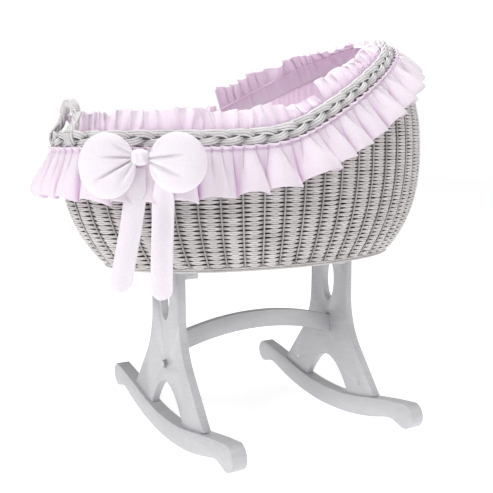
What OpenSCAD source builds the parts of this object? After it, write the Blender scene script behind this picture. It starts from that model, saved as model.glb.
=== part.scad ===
// Rocking crib: a woven boat-shaped basket with a raised hood end, a braided rim, a cane
// handle, a gathered cotton trim and a stuffed bow, standing on a wooden rocking stand.
//
// Frame: X runs along the basket, from the foot end (-X) to the hood end (+X).
// Y runs across it, with the bow on the -Y side.  Z is up, and Z = 0 is the floor.
// The origin is on the floor, under the middle of the crib's overall length.

/* [Basket] */
// Outer length of the woven body at its widest level
basket_length = 892; // [860:1:920]
// Outer width of the woven body at its widest level
basket_width = 500; // [460:5:540]
// Level of the basket's underside above the floor
base_z = 395; // [380:1:400]
// Level at which the body is widest
belly_z = 629; // [620:1:640]
// Semi-height of the oval that the body's upright section follows below the widest level
belly_drop = 344; // [330:1:360]
// Semi-height of that oval above the widest level
belly_rise = 362; // [350:1:380]
// Squareness of that oval, where 2 is an ellipse
belly_power = 2.3; // [2:0.05:2.6]
// Thickness of the woven wall
wall_t = 10; // [8:0.5:12]
// Thickness of the woven floor
floor_t = 10; // [8:0.5:12]
// Distance of the basket's middle from the origin along X
basket_x = 27.5; // [24:0.5:30]

/* [Rim] */
// Level of the braid's centre line at the foot end
rim_low = 661; // [655:1:665]
// Slope of the rim as it climbs to the hood
rim_slope = 0.57; // [0.5:0.01:0.62]
// Place along X, from the basket's middle, where the rim starts to climb
rim_bend = -70; // [-80:1:-60]
// Length over which the rim turns from level to sloped
rim_blend = 60; // [40:1:80]
// Half thickness of the braid
braid_w = 11; // [9:0.5:12]
// Half height of the braid
braid_h = 16; // [14:0.5:17]

/* [Trim] */
// Depth of the outer skirt below the braid
skirt_drop = 90; // [80:1:100]
// Distance of the skirt's hem outside the braid's centre line
skirt_flare = 36; // [30:1:42]
// Height of the inner frills above the braid's centre line
frill_rise = 58; // [50:1:62]
// Thickness of the lining cloth with its wadding
lining_t = 3; // [2:0.5:4]
// Width of one stuffed loop of the bow
bow_loop_w = 112; // [100:1:116]
// Height of one stuffed loop of the bow
bow_loop_h = 120; // [100:1:124]
// Width of the bow's tails
tail_w = 41; // [36:1:44]
// Length of the bow's tails
tail_length = 232; // [210:1:240]

/* [Mattress] */
// Thickness of the mattress
mattress_t = 50; // [40:1:60]
// Gap between the mattress and the lining
mattress_gap = 4; // [3:0.5:8]

/* [Handle] */
// Radius of the wrapped cane handle
handle_r = 8.5; // [7:0.5:9]
// Distance between the handle's two feet
handle_span = 126; // [116:1:140]
// Level of the top of the handle
handle_top = 741; // [735:1:750]

/* [Stand] */
// Distance between the two end plates, centre to centre
plate_pitch = 440; // [420:1:450]
// Thickness of the end plates
plate_t = 18; // [16:0.5:20]
// Half width of a plate at its top
plate_top_w = 70; // [64:1:74]
// Half width of a plate at its feet
plate_foot_w = 187; // [180:1:190]
// Level of the plates' top edge
plate_top_z = 383; // [376:1:384]
// Radius of the rockers' rolling face
rocker_r = 700; // [650:10:760]
// Depth of the rockers, from the rolling face to the face under the plates
rocker_h = 44; // [42:1:46]
// Thickness of the rockers
rocker_t = 32; // [28:1:34]
// Half length of the rockers
rocker_half = 324; // [320:1:328]
// Radius of the stop lobe at each rocker end
lobe_r = 28; // [26:1:29]
// Depth of the arched stretcher
stretcher_h = 40; // [36:1:44]
// Thickness of the arched stretcher
stretcher_t = 18; // [16:0.5:20]

/* [Hidden] */
$fn = 48;
eps = 0.05;

half_l = basket_length / 2;
half_w = basket_width / 2;
foot_x = basket_x - plate_pitch / 2;
head_x = basket_x + plate_pitch / 2;
around = 64;
levels = 12;

// Stand details
plate_neck_z = 290;
flare_r = 205;
flare_angle = 36;
arch_half = 88;
arch_top = 127;
slot_z = 320;
slot_half_w = 24;
slot_half_h = 53;
rocker_step = 2;
lobe_y = rocker_half - lobe_r;
lobe_z = 62;
stretcher_r = 650;
stretcher_crown = 243;
stretcher_half = (plate_pitch - plate_t) / 2;
stretcher_end_z = stretcher_crown - stretcher_r + sqrt(pow(stretcher_r, 2) - pow(stretcher_half, 2));
dowel_r = 4;
dowel_length = 30;
dowel_depth = 12;
dowel_low = 4;
dowel_high = 9;
// Upright dowels of a rocker: place across, lower end and length of each
foot_dowel_places = [[105, 34, 44], [160, 44, 40]];
bolt_y = 130;
bolt_r = 3;
bolt_head_r = 5;
bolt_recess_z = 24;
bolt_head_h = 6;
bolt_socket_r = 2.5;
barrel_r = 6;
barrel_z = 88;
barrel_bore = 15;
barrel_length = 14;
plate_bolt_z = 168;
plate_bolt_r = 4;
plate_bolt_head_r = 8.6;
washer_r = 9.6;
washer_t = 1.6;
insert_r = 7;
insert_length = 15;
cleat_t = 30;
cleat_h = 16;
peg_r = 5;
peg_y = 45;
screw_r = 2;
screw_head_r = 4;
cleat_screw_y = 52;
screw_in_plate = 12;
batten_screw_ys = [-70, 0, 70];
batten_half = 90;
batten_w = 60;
batten_t = base_z - plate_top_z;

// Trim details
hood_tuck = 9;
frill_t = 3;
frill_lean = 12;
frill_corner = 85;
handle_clear = 22;
hem_dip = 9;
bow_pull = 14;

wood = [0.80, 0.80, 0.82];
cane = [0.74, 0.73, 0.71];
cotton = [0.96, 0.88, 0.95];
steel = [0.62, 0.62, 0.63];
beech = [0.80, 0.68, 0.50];

function unit(v) = v / norm(v);
function arc(c, r, a0, a1, n) =
  [for (i = [0 : n]) let (a = a0 + (a1 - a0) * i / n) [c[0] + r * cos(a), c[1] + r * sin(a)]];
function mirrored(half) =
  concat(half, [for (i = [len(half) - 1 : -1 : 0]) if (half[i][0] > eps) [-half[i][0], half[i][1]]]);

// Width of the body at a level, as a share of its greatest width
function share(z) =
  let (d = z > belly_z ? (z - belly_z) / belly_rise : (belly_z - z) / belly_drop)
  pow(max(0.01, 1 - pow(d, belly_power)), 1 / belly_power);
// Point of the wall at an angle round the basket and a level, offset outwards by a distance
function wall_point(a, z, off = 0) =
  [basket_x + (half_l * share(z) + off) * cos(a), (half_w * share(z) + off) * sin(a), z];
// Level of the rim's centre line above a place along X
function rim_z(x) =
  let (d = x - basket_x - rim_bend) rim_low + rim_slope / 2 * (d + sqrt(d * d + rim_blend * rim_blend));
// The braid leans outwards at the foot end and inwards at the hood
function rim_out(a) = 1 - 6 * cos(a) - hood_tuck * pow(max(0, cos(a)), 2);
function settle(a, z, n) =
  n == 0 ? z : settle(a, (z + rim_z(wall_point(a, z, rim_out(a))[0])) / 2, n - 1);
function rim_level(a) = settle(a, rim_low, 30);
function rim_point(a) = wall_point(a, rim_level(a), rim_out(a));
// Outward normal of the body at a point
function outward(p) =
  unit([(p[0] - basket_x) / pow(half_l, 2), p[1] / pow(half_w, 2), (p[2] - belly_z) / pow(belly_rise, 2)]);
// Point beside the rim: so far out from it, and so far up along the wall from it
function beside_rim(a, out, up) =
  let (
    p = rim_point(a),
    n = outward(p),
    t = unit(rim_point(a + 1) - rim_point(a - 1)),
    u = unit(cross(n, t))
  )
  p + n * out + u * up;

// Lean of the wall at its top, which follows the braid inwards at the hood
function wall_lean(a) = min(0, rim_out(a) + 5);

// Closed ring through one cross-section for each angle
module ring(sections) {
  n = len(sections);
  m = len(sections[0]);
  points = [for (s = sections) each s];
  faces = [
    for (i = [0 : n - 1])
      for (j = [0 : m - 1])
        let (
          k = (i + 1) % n,
          l = (j + 1) % m
        )
        each [[i * m + j, i * m + l, k * m + l], [i * m + j, k * m + l, k * m + j]]
  ];
  polyhedron(points, faces, convexity = 10);
}

// Tube with flat ends through a list of cross-sections
module tube(sections) {
  n = len(sections);
  m = len(sections[0]);
  points = [for (s = sections) each s];
  sides = [
    for (i = [0 : n - 2])
      for (j = [0 : m - 1])
        let (l = (j + 1) % m)
        each [
          [i * m + j, i * m + l, (i + 1) * m + l],
          [i * m + j, (i + 1) * m + l, (i + 1) * m + j]
        ]
  ];
  first = [for (j = [m - 1 : -1 : 0]) j];
  last = [for (j = [0 : m - 1]) (n - 1) * m + j];
  polyhedron(points, concat(sides, [first], [last]), convexity = 10);
}

// Board drawn in the Y-Z plane and centred on a place along X
module board(x, t) {
  translate([x - t / 2, 0, 0])
    rotate([90, 0, 90])
      linear_extrude(height = t)
        children();
}

// ---- Stand ----

// Rolling face and upper face are facets round one centre, with a flat facet at the bottom
function rocker_face(r, upto) =
  [for (a = [rocker_step / 2 : rocker_step : upto])
    let (rr = r / cos(rocker_step / 2)) [rr * sin(a), rocker_r - rr * cos(a)]];
function rocker_top(upto) = rocker_face(rocker_r - rocker_h, upto);

module rocker_outline() {
  under = rocker_face(rocker_r, 19);
  lobe = arc([lobe_y, lobe_z], lobe_r, -96, 78, 14);
  top = rocker_top(16);
  top_in = [for (i = [len(top) - 1 : -1 : 0]) top[i]];
  shoulder = [[252, 82]];
  hollow = [[248, 43.5], [262, 42.5]];
  half = concat(under, hollow, lobe, shoulder, top_in);
  polygon(concat(half, [for (i = [len(half) - 1 : -1 : 0]) [-half[i][0], half[i][1]]]));
}

module bolt_shafts(x, r) {
  for (side = [-1, 1])
    translate([x, side * bolt_y, -1])
      cylinder(r = r, h = barrel_z + barrel_r + 3);
}

module bolt_recess(x) {
  for (side = [-1, 1])
    translate([x, side * bolt_y, 0])
      cylinder(r = bolt_head_r + 1, h = bolt_recess_z);
}

// Upright dowels between a rocker and the plate's feet
module foot_dowels(x, r) {
  for (side = [-1, 1])
    for (d = foot_dowel_places)
      translate([x, side * d[0], d[1]])
        cylinder(r = r, h = d[2]);
}

module rocker(x) {
  color(wood)
    difference() {
      board(x, rocker_t)
        rocker_outline();
      bolt_shafts(x, bolt_r + eps);
      bolt_recess(x);
      foot_dowels(x, dowel_r + eps);
    }
}

module plate_outline() {
  flare = arc([plate_top_w + 2 + flare_r, plate_neck_z], flare_r, 180, 180 + flare_angle, 12);
  top = [[plate_top_w, plate_top_z]];
  sole_z = function (y) rocker_r - sqrt(pow(rocker_r - rocker_h, 2) - y * y);
  feet = [
    for (p = rocker_top(20))
      if (p[0] > arch_half + 3 && p[0] < plate_foot_w - 3) p
  ];
  feet_in = [for (i = [len(feet) - 1 : -1 : 0]) feet[i]];
  corner_out = [[plate_foot_w, on_rocker(plate_foot_w)]];
  corner_in = [[arch_half, on_rocker(arch_half)]];
  arch = [
    for (i = [0 : 11])
      let (y = arch_half * (1 - i / 12)) [y, arch_top - (arch_top - sole_z(arch_half)) * pow(y / arch_half, 2)]
  ];
  arch_in = [for (i = [1 : 11]) arch[i]];
  crown = [[0, arch_top]];
  half = concat(top, flare, corner_out, feet_in, corner_in, arch_in);
  polygon(concat(half, crown, [for (i = [len(half) - 1 : -1 : 0]) [-half[i][0], half[i][1]]]));
}

// Level of the rocker's upper face above a place along Y
function on_rocker(y) =
  let (
    r = (rocker_r - rocker_h) / cos(rocker_step / 2),
    i = floor((asin(y / r) + rocker_step / 2) / rocker_step),
    mid = i * rocker_step
  )
  rocker_r - ((rocker_r - rocker_h) - y * sin(mid)) / cos(mid);

module slot_outline() {
  polygon([for (a = [0 : 10 : 350]) [slot_half_w * cos(a), slot_z + slot_half_h * sin(a)]]);
}

// Level dowels between a plate and the stretcher's end; side is the plate's inner side
module end_dowels(x, side, r) {
  for (z = [stretcher_end_z - dowel_low, stretcher_end_z + dowel_high])
    translate([x + side * (plate_t / 2 - dowel_depth + dowel_length / 2), 0, z])
      rotate([0, 90, 0])
        cylinder(r = r, h = dowel_length, center = true);
}

module barrels(x, side, r, length) {
  for (y = [-bolt_y, bolt_y])
    translate([x + side * plate_t / 2, y, barrel_z])
      rotate([0, -side * 90, 0])
        cylinder(r = r, h = length);
}

// Level screws that hold a cleat to a plate's inner face
module cleat_screw_holes(x, side, r) {
  for (y = [-cleat_screw_y, cleat_screw_y])
    translate([x + side * (plate_t / 2 - screw_in_plate), y, plate_top_z - cleat_h / 2])
      rotate([0, side * 90, 0])
        cylinder(r = r, h = screw_in_plate + cleat_t - 3);
}

module plate(x, side, insert_hole = false) {
  color(wood)
    difference() {
      board(x, plate_t)
        difference() {
          plate_outline();
          slot_outline();
        }
      end_dowels(x, side, dowel_r + eps);
      barrels(x, side, barrel_r + eps, barrel_bore);
      bolt_shafts(x, bolt_r + eps);
      foot_dowels(x, dowel_r + eps);
      cleat_screw_holes(x, side, screw_r + eps);
      if (insert_hole)
        insert_bore(insert_r + eps);
    }
}

module insert_bore(r) {
  translate([foot_x - plate_t / 2, 0, plate_bolt_z])
    rotate([0, 90, 0])
      cylinder(r = r, h = insert_length);
}

module foot_plate() {
  plate(foot_x, 1, insert_hole = true);
}

module head_plate() {
  plate(head_x, -1);
}

module foot_rocker() {
  rocker(foot_x);
}

module head_rocker() {
  rocker(head_x);
}

module stretcher() {
  color(wood)
    difference() {
      translate([basket_x, stretcher_t / 2, stretcher_crown - stretcher_r])
        rotate([90, 0, 0])
          linear_extrude(height = stretcher_t)
            intersection() {
              difference() {
                circle(r = stretcher_r + stretcher_h / 2, $fn = 180);
                circle(r = stretcher_r - stretcher_h / 2, $fn = 180);
              }
              translate([-stretcher_half, 0])
                square([2 * stretcher_half, stretcher_r + stretcher_h]);
            }
      end_dowels(foot_x, 1, dowel_r + eps);
      end_dowels(head_x, -1, dowel_r + eps);
    }
}

module stretcher_dowels() {
  color(beech) {
    end_dowels(foot_x, 1, dowel_r);
    end_dowels(head_x, -1, dowel_r);
  }
}

module rocker_dowels() {
  color(beech)
    for (x = [foot_x, head_x])
      foot_dowels(x, dowel_r);
}

// Socket-head bolts that come up through a rocker into the barrel nuts
module rocker_bolts() {
  color(steel)
    for (x = [foot_x, head_x])
      for (side = [-1, 1])
        translate([x, side * bolt_y, 0])
          difference() {
            union() {
              translate([0, 0, bolt_recess_z - bolt_head_h])
                cylinder(r = bolt_head_r, h = bolt_head_h);
              translate([0, 0, bolt_recess_z - 1])
                cylinder(r = bolt_r, h = barrel_z + 4 - bolt_recess_z + 1);
            }
            translate([0, 0, bolt_recess_z - bolt_head_h - 1])
              cylinder(r = bolt_socket_r, h = 4, $fn = 6);
          }
}

module barrel_nuts() {
  color(steel)
    for (e = [[foot_x, 1], [head_x, -1]])
      difference() {
        barrels(e[0], e[1], barrel_r, barrel_length);
        bolt_shafts(e[0], bolt_r + eps);
      }
}

module plate_bolt() {
  color(steel)
    translate([foot_x - plate_t / 2, 0, plate_bolt_z])
      rotate([0, -90, 0]) {
        translate([0, 0, washer_t])
          rotate([0, 0, 15])
            cylinder(r = plate_bolt_head_r, h = 6, $fn = 6);
        cylinder(r = washer_r, h = washer_t);
        translate([0, 0, -12])
          cylinder(r = plate_bolt_r, h = 12);
      }
}

module plate_insert() {
  color(steel)
    difference() {
      insert_bore(insert_r);
      insert_bore(plate_bolt_r + eps);
    }
}

module cleat(x, side) {
  color(wood)
    difference() {
      translate([side > 0 ? x + plate_t / 2 : x - plate_t / 2 - cleat_t, -plate_top_w, plate_top_z - cleat_h])
        cube([cleat_t, 2 * plate_top_w, cleat_h]);
      cleat_screw_holes(x, side, screw_r + eps);
      peg_holes(x, side, peg_r + eps, 12);
      cleat_countersinks(x, side);
    }
}

// Recesses for the screw heads in a cleat's open face
module cleat_countersinks(x, side) {
  for (y = [-cleat_screw_y, cleat_screw_y])
    translate([x + side * (plate_t / 2 + cleat_t), y, plate_top_z - cleat_h / 2])
      rotate([0, -side * 90, 0])
        cylinder(r = screw_head_r + 0.3, h = 4);
}

module peg_holes(x, side, r, depth, above = 1) {
  for (y = [-peg_y, peg_y])
    translate([x + side * (plate_t / 2 + cleat_t / 2), y, plate_top_z - depth])
      cylinder(r = r, h = depth + above);
}

module foot_cleat() {
  cleat(foot_x, 1);
}

module head_cleat() {
  cleat(head_x, -1);
}

module cleat_screws() {
  color(steel)
    for (e = [[foot_x, 1], [head_x, -1]]) {
      cleat_screw_holes(e[0], e[1], screw_r);
      for (y = [-cleat_screw_y, cleat_screw_y])
        translate([e[0] + e[1] * (plate_t / 2 + cleat_t - 1), y, plate_top_z - cleat_h / 2])
          rotate([0, -e[1] * 90, 0])
            cylinder(r = screw_head_r, h = 2.8);
    }
}

// Upright pegs in the cleats that the basket's battens drop over
module locating_pegs() {
  color(beech) {
    peg_holes(foot_x, 1, peg_r, 12, 10);
    peg_holes(head_x, -1, peg_r, 12, 10);
  }
}

// ---- Basket ----

module wicker_wall() {
  bottom = base_z + floor_t + 0.2;
  section = function (a)
    let (
      top = rim_level(a) - 12,
      z = function (i) bottom + (top - bottom) * i / levels,
      lean = function (i) wall_lean(a) * pow(i / levels, 4)
    )
    concat(
      [for (i = [0 : levels]) wall_point(a, z(i), lean(i))],
      [for (i = [levels : -1 : 0]) wall_point(a, z(i), lean(i) - wall_t)]
    );
  color(cane)
    ring([for (i = [0 : around - 1]) section(360 * i / around)]);
}

module wicker_base() {
  s = share(base_z + floor_t / 2);
  outline = [
    for (i = [0 : around - 1])
      let (a = 360 * i / around) [basket_x + half_l * s * cos(a), half_w * s * sin(a)]
  ];
  color(cane)
    difference() {
      translate([0, 0, base_z])
        linear_extrude(height = floor_t)
          polygon(outline);
      screw_shafts(screw_r + eps);
    }
}

module screw_shafts(r) {
  for (x = [foot_x, head_x])
    for (y = batten_screw_ys)
      translate([x, y, base_z - batten_t + 2.6])
        cylinder(r = r, h = batten_t + 4);
}

module base_battens() {
  color(wood)
    difference() {
      for (x = [foot_x, head_x])
        translate([x - plate_t / 2 - 2, -batten_half, base_z - batten_t])
          translate([x == foot_x ? 0 : plate_t + 4 - batten_w, 0, 0])
            cube([batten_w, 2 * batten_half, batten_t]);
      peg_holes(foot_x, 1, peg_r + 0.6, 1, batten_t + 1);
      peg_holes(head_x, -1, peg_r + 0.6, 1, batten_t + 1);
      screw_shafts(screw_r + eps);
      for (x = [foot_x, head_x])
        for (y = batten_screw_ys)
          translate([x, y, base_z - batten_t - 1])
            cylinder(r = screw_head_r + 0.3, h = 4);
    }
}

module batten_screws() {
  color(steel) {
    screw_shafts(screw_r);
    for (x = [foot_x, head_x])
      for (y = batten_screw_ys)
        translate([x, y, base_z - batten_t + 0.4])
          cylinder(r = screw_head_r, h = 2.4);
  }
}

module rim_braid() {
  section = function (a)
    [for (i = [0 : 9]) beside_rim(a, braid_w * cos(36 * i), braid_h * sin(36 * i))];
  color(cane)
    ring([for (i = [0 : around - 1]) section(360 * i / around)]);
}

// Handle: legs outside the braid, then in over it and together at the top
module foot_handle() {
  foot_y = handle_span / 2;
  leg = wall_point(180, rim_low, 0)[0] + 3;
  half = [
    [leg, -foot_y, rim_low - 10],
    [leg - 1, -foot_y + 1, rim_low + 4],
    [leg + 5, -foot_y + 4, rim_low + 18],
    [leg + 11, -foot_y + 12, rim_low + 32],
    [leg + 15, -42, handle_top - 34],
    [leg + 16, -32, handle_top - 18],
    [leg + 16, -17, handle_top - 10],
    [leg + 16, 0, handle_top - handle_r]
  ];
  path = concat(half, [for (i = [len(half) - 2 : -1 : 0]) [half[i][0], -half[i][1], half[i][2]]]);
  last = len(path) - 1;
  section = function (i)
    let (
      t = unit(path[min(i + 1, last)] - path[max(i - 1, 0)]),
      n = unit(cross(t, [1, 0, 0.35])),
      b = cross(t, n)
    )
    [for (j = [0 : 9]) path[i] + n * handle_r * cos(36 * j) + b * handle_r * sin(36 * j)];
  color(cane)
    tube([for (i = [0 : last]) section(i)]);
}

module lining() {
  bottom = base_z + floor_t + 1;
  gap = 1.2;
  section = function (a)
    let (
      top = rim_level(a) - braid_h - 8,
      z = function (i) bottom + (top - bottom) * i / levels,
      face = function (i) wall_lean(a) * pow(i / levels, 4) - wall_t - gap
    )
    concat(
      [for (i = [0 : levels]) wall_point(a, z(i), face(i))],
      [for (i = [levels : -1 : 0]) wall_point(a, z(i), face(i) - lining_t)]
    );
  color(cotton)
    ring([for (i = [0 : around - 1]) section(360 * i / around)]);
}

// The frill stands clear of the handle at the foot end
function frill_push(a) = handle_clear * pow(max(0, -cos(a)), 8);

// Gathered frill inside the braid, from one angle round the basket to another
module frill(from, to) {
  steps = round((to - from) * around / 360);
  section = function (a)
    let (
      foot = -max(braid_w, wall_t + rim_out(a) - wall_lean(a)) - 1.5,
      out = foot - frill_push(a)
    )
    [
      beside_rim(a, foot, -braid_h),
      beside_rim(a, out, braid_h),
      beside_rim(a, out - frill_lean, frill_rise),
      beside_rim(a, out - frill_lean - frill_t, frill_rise),
      beside_rim(a, out - frill_t, braid_h),
      beside_rim(a, foot - frill_t, -braid_h)
    ];
  color(cotton)
    tube([for (i = [0 : steps]) section(from + (to - from) * i / steps)]);
}

module inner_frill() {
  frill(frill_corner + 1, 359 - frill_corner);
}

module hood_frill() {
  frill(-frill_corner, frill_corner);
}

module outer_skirt() {
  cloth = 3;
  top = -braid_h - 1.5;
  section = function (a)
    let (
      head = max(5, 3 - rim_out(a)),
      flare = skirt_flare - 10 * max(0, cos(a)),
      pull = bow_pull * exp(-pow((a - bow_angle) / 20, 2)),
      hem = top - skirt_drop + hem_dip * min(0, cos(a)) - pull
    )
    [
      beside_rim(a, head, top),
      beside_rim(a, head + cloth, top),
      beside_rim(a, flare, hem),
      beside_rim(a, flare - cloth, hem)
    ];
  color(cotton)
    ring([for (i = [0 : around - 1]) section(360 * i / around)]);
}

// ---- Bow ----

// The bow sits on the skirt at this angle round the basket, turned square to the wall
bow_angle = 222;
bow_out = skirt_flare + 4;
bow_foot = beside_rim(bow_angle, 0, 0);
bow_turn = atan2(outward(bow_foot)[1], outward(bow_foot)[0]) + 90;
bow_drop = 34;
bow_t = 40;
bow_gap = 10;
knot_w = 36;
knot_gap = 6;
tail_gap = 6;
tail_t = 3;
tail_top = 20;

// Place at a distance right of and above the knot, and out from the rim
module at_bow(right, out, up) {
  translate([bow_foot[0], bow_foot[1], bow_foot[2] - bow_drop])
    rotate([0, 0, bow_turn])
      translate([right, -out, up])
        children();
}

// Stuffed round pillow beside the knot; drop is how far its middle hangs below it
module bow_loop(side, reach, drop, width, height) {
  color(cotton)
    at_bow(side * reach, bow_out + bow_t / 2 + bow_gap, -drop)
      scale([width / bow_t, 1, height / bow_t])
        sphere(d = bow_t, $fn = 40);
}

module bow_left_loop() {
  bow_loop(-1, 66, 15, bow_loop_w - 18, bow_loop_h + 4);
}

module bow_right_loop() {
  bow_loop(1, 71, 9, bow_loop_w - 7, bow_loop_h - 6);
}

module bow_knot() {
  color(cotton)
    at_bow(0, bow_out + knot_w / 2 + knot_gap, 0)
      hull() {
        for (z = [-4, 4])
          translate([0, 0, z])
            scale([1, 1, 0.8])
              sphere(r = knot_w / 2, $fn = 24);
      }
}

module bow_tail(right, lean, drop) {
  color(cotton)
    at_bow(right, bow_out + tail_gap, -tail_top - drop)
      rotate([0, lean, 0])
        translate([-tail_w / 2, 0, -tail_length + tail_w / 2])
          rotate([90, 0, 0])
            linear_extrude(height = tail_t)
              union() {
                square([tail_w, tail_length - tail_w / 2]);
                translate([tail_w / 2, 0])
                  circle(d = tail_w);
              }
}

module bow_left_tail() {
  bow_tail(-18, 8, 0);
}

module bow_right_tail() {
  bow_tail(36, 0, 12);
}

// ---- Mattress ----

module mattress() {
  bottom = base_z + floor_t + 1;
  s = share(bottom);
  inset = wall_t + 1 + lining_t + mattress_gap;
  outline = [
    for (i = [0 : around - 1])
      let (a = 360 * i / around) [basket_x + (half_l * s - inset) * cos(a), (half_w * s - inset) * sin(a)]
  ];
  color(cotton)
    translate([0, 0, bottom])
      linear_extrude(height = mattress_t)
        polygon(outline);
}

foot_plate();
head_plate();
foot_rocker();
head_rocker();
stretcher();
stretcher_dowels();
rocker_dowels();
rocker_bolts();
barrel_nuts();
plate_bolt();
plate_insert();
foot_cleat();
head_cleat();
cleat_screws();
locating_pegs();
wicker_wall();
wicker_base();
base_battens();
batten_screws();
rim_braid();
foot_handle();
lining();
inner_frill();
hood_frill();
outer_skirt();
bow_left_loop();
bow_right_loop();
bow_knot();
bow_left_tail();
bow_right_tail();
mattress();
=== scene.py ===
"""Looks for the rocking crib: woven cane, plaited rim, gathered cotton trim and painted wood.

Lengths are millimetres in the crib's own frame until a mesh is made, and metres in Blender.
Angles go round the basket from the hood end (0) through the far side (90) and the foot end (180).
"""

import math

import bmesh
import bpy
import numpy as np
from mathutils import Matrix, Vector


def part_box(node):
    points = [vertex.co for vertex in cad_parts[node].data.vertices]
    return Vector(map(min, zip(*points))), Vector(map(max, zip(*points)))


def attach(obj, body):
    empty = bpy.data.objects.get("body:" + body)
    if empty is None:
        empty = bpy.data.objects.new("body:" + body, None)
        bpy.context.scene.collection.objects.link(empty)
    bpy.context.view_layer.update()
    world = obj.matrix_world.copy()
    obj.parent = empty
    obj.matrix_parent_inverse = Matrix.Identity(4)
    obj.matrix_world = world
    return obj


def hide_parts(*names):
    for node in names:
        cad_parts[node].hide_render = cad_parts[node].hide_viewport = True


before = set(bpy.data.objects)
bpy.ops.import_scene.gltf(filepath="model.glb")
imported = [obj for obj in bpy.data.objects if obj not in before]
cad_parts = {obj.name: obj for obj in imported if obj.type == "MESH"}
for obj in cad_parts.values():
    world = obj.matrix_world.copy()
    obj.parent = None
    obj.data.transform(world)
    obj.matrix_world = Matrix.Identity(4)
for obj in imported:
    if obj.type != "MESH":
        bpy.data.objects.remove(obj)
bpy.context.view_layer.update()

MM = 0.001
TAU = 2 * math.pi

# ---- Driving sizes, as in the crib's own drawing ----

BASKET_X = 27.5
HALF_L = 446.0
HALF_W = 250.0
BELLY_Z = 629.0
BELLY_DROP = 344.0
BELLY_RISE = 362.0
BELLY_POWER = 2.3
WALL_T = 10.0
BASE_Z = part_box("wicker_base")[0].z / MM
FLOOR_T = 10.0
RIM_LOW = 661.0
RIM_SLOPE = 0.57
RIM_BEND = -70.0
RIM_BLEND = 60.0
RIM_SHIFT = 6.0
RIM_CLEAR = 5.0
HOOD_TUCK = 9.0
BRAID_W = 11.0
SKIRT_DROP = 90.0
SKIRT_FLARE = 36.0
HEM_DIP = 9.0
BOW_PULL = 14.0
BOW_ANGLE = 222.0
FRILL_CORNER = 85.0
HANDLE_CLEAR = 22.0
HANDLE_SPAN = 126.0
HANDLE_TOP = 741.0
HANDLE_R = 8.5


# ---- The basket's shape ----

def share(z):
    """Width of the body at a level, as a share of its greatest width."""
    z = np.asarray(z, float)
    d = np.where(z > BELLY_Z, (z - BELLY_Z) / BELLY_RISE, (BELLY_Z - z) / BELLY_DROP)
    return np.maximum(0.01, 1 - np.clip(d, 0, None) ** BELLY_POWER) ** (1 / BELLY_POWER)


def wall_point(a, z, off=0.0):
    """Points of the wall at angles (radians) and levels, offset outwards."""
    s = share(z)
    return np.stack(
        [BASKET_X + (HALF_L * s + off) * np.cos(a), (HALF_W * s + off) * np.sin(a), z + 0 * a], axis=-1
    )


def rim_z(x):
    """Level of the rim: flat over the foot end, then rising evenly to the top of the hood."""
    d = x - BASKET_X - RIM_BEND
    return RIM_LOW + RIM_SLOPE / 2 * (d + np.sqrt(d * d + RIM_BLEND**2))


def rim_out(a):
    """How far the rim's centre line stands out from the body's own surface."""
    c = np.cos(a)
    return 1 - RIM_SHIFT * c - HOOD_TUCK * np.maximum(0, c) ** 2


def wall_lean(a):
    """How far the wall's top edge leans in to stay under the rim."""
    return np.minimum(0, rim_out(a) + RIM_CLEAR)


def rim_level(a):
    """Level of the rim at angles, by going halfway to the rim's curve again and again."""
    z = np.full(np.shape(a), RIM_LOW)
    for _ in range(30):
        z = (z + rim_z(wall_point(a, z, rim_out(a))[..., 0])) / 2
    return z


def rim_point(a):
    return wall_point(a, rim_level(a), rim_out(a))


def unit(v):
    return v / np.maximum(np.linalg.norm(v, axis=-1, keepdims=True), 1e-9)


def outward(p):
    """Outward normal of the body at points."""
    x = (p[..., 0] - BASKET_X) / HALF_L**2
    y = p[..., 1] / HALF_W**2
    z = (p[..., 2] - BELLY_Z) / BELLY_RISE**2
    return unit(np.stack([x, y, z], axis=-1))


def rim_axes(a):
    """The rim's centre line at angles, with its outward, along and up directions."""
    step = math.radians(1)
    p = rim_point(a)
    n = outward(p)
    t = unit(rim_point(a + step) - rim_point(a - step))
    return p, n, t, unit(np.cross(n, t))


def beside_rim(a, out, up):
    """Points so far out from the rim's centre line, and so far up along the wall from it."""
    p, n, _, u = rim_axes(a)
    return p + n * np.asarray(out)[..., None] + u * np.asarray(up)[..., None]


RIM_TABLE_A = np.linspace(0, TAU, 721)
RIM_STEPS = np.linalg.norm(np.diff(rim_point(RIM_TABLE_A), axis=0), axis=1)
RIM_TABLE_S = np.concatenate([[0], np.cumsum(RIM_STEPS)])
RIM_LENGTH = RIM_TABLE_S[-1]


def rim_angle(s):
    """Angle round the basket at a length along the rim."""
    turns = np.floor(s / RIM_LENGTH)
    return np.interp(s - turns * RIM_LENGTH, RIM_TABLE_S, RIM_TABLE_A) + turns * TAU


def rim_distance(a):
    """Length along the rim at an angle in radians."""
    turns = np.floor(a / TAU)
    return np.interp(a - turns * TAU, RIM_TABLE_A, RIM_TABLE_S) + turns * RIM_LENGTH


# ---- Smooth repeatable variation ----

def hash_unit(k, seed=0):
    """A repeatable value from 0 to 1 for each whole number."""
    v = np.sin(np.asarray(k, float) * 12.9898 + seed * 78.233) * 43758.5453
    return v - np.floor(v)


def value_noise(x, seed=0):
    """Smooth noise from -1 to 1 along a line, with one bump for each unit."""
    i = np.floor(x)
    f = x - i
    f = f * f * (3 - 2 * f)
    return 2 * (hash_unit(i, seed) * (1 - f) + hash_unit(i + 1, seed) * f) - 1


def smooth_step(low, high, x):
    t = np.clip((np.asarray(x, float) - low) / (high - low), 0, 1)
    return t * t * (3 - 2 * t)


# ---- Meshes ----

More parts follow.
